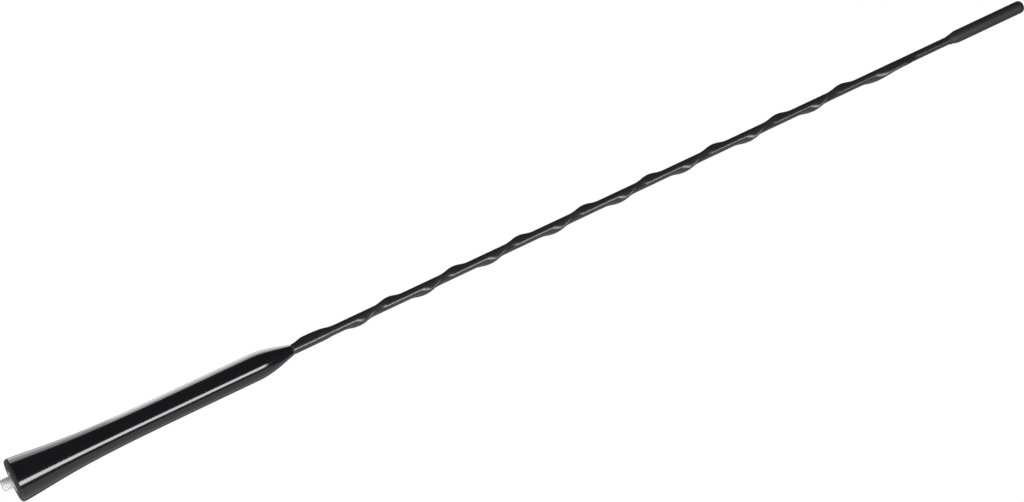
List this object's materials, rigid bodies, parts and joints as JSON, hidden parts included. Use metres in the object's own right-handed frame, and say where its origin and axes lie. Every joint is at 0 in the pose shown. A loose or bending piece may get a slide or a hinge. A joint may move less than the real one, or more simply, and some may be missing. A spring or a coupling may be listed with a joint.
{
  "type": "car mast aerial",
  "caption": "Short screw-in car mast aerial: black whip with a raised spiral rib, a flared glossy boot with a threaded stud below, and a long round-ended tip cap.",
  "frame": {"origin": "centre of the boot's seating face, where the stud leaves it", "axes": "+Z along the mast to its tip, -Z along the stud; the spiral's lower end lies 15 degrees from -X towards +Y"},
  "size_m": [0.0164, 0.0164, 0.409],
  "materials": {
    "zinc_plated_steel": "bright zinc plate",
    "turned_brass": "turned, bare",
    "gloss_black_plastic": "polished moulding",
    "glass_fibre": "drawn rod with resin",
    "copper": "drawn wire",
    "solder": "dull tin",
    "nylon_filament": "smooth filament",
    "black_heat_shrink": "satin",
    "matte_black_plastic": "matt moulding"
  },
  "bodies": {
    "root": {"mounting_stud": "zinc_plated_steel", "ferrule": "turned_brass", "boot": "gloss_black_plastic", "core_rod": "glass_fibre", "conductor": "copper", "solder_joint": "solder", "spiral_filament": "nylon_filament", "sheath": "black_heat_shrink", "tip_cap": "matte_black_plastic"}
  },
  "joints": []
}
